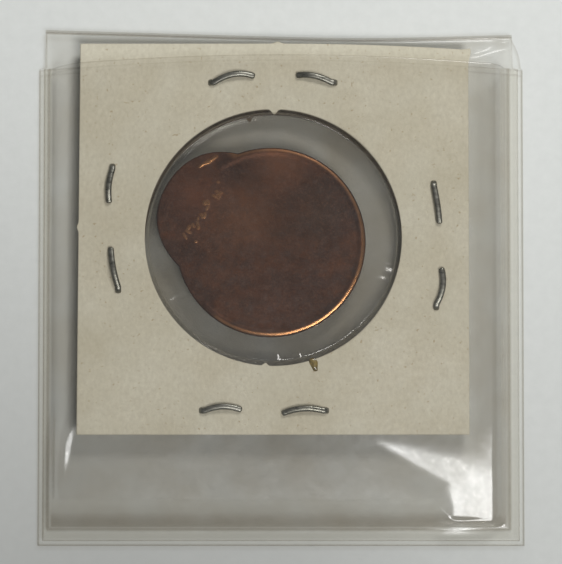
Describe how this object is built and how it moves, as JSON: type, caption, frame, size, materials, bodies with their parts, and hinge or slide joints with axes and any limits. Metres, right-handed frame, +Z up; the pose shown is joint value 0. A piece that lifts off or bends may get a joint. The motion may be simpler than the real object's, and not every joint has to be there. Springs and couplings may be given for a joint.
{
  "type": "coin capsule",
  "caption": "Folded clear vinyl flip with a pocket that holds a stapled square card holder, whose round film window shows a copper blank struck off centre.",
  "frame": {"origin": "on the resting plane, under the middle of the folded flip", "axes": "+X to the right and +Y towards the fold, seen from the coin's side; +Z up, away from the table"},
  "size_m": [0.0476, 0.0498, 0.0037],
  "materials": {
    "vinyl": "gloss",
    "clear_film": "gloss",
    "card": "matte",
    "staple_wire": "satin",
    "copper": "satin"
  },
  "bodies": {
    "front_half": {"front_backing_film": "vinyl", "front_pocket_film": "vinyl", "fold_strip": "vinyl"},
    "rear_half": {"rear_backing_film": "vinyl", "rear_pocket_film": "vinyl"},
    "holder": {"folded_card": "card", "rear_window_film": "clear_film", "front_window_film": "clear_film", "staple_top": "staple_wire", "staple_bottom": "staple_wire", "staple_left": "staple_wire", "staple_right": "staple_wire"},
    "coin": {"coin": "copper"}
  },
  "joints": [
    {"name": "flip_fold", "type": "hinge", "parent": "front_half", "child": "rear_half", "pos_m": [0, 0.0247, 0.00047], "axis": [1, 0, 0], "range_deg": [0, 179.9]},
    {"name": "holder_slide", "type": "slide", "parent": "front_half", "child": "holder", "axis": [0, 1, 0], "range_m": [-0.007, 0.04]},
    {"name": "coin_turn", "type": "hinge", "parent": "holder", "child": "coin", "pos_m": [-0.00076, 0.005, 0.00201], "axis": [0, 0, 1], "continuous": true}
  ]
}
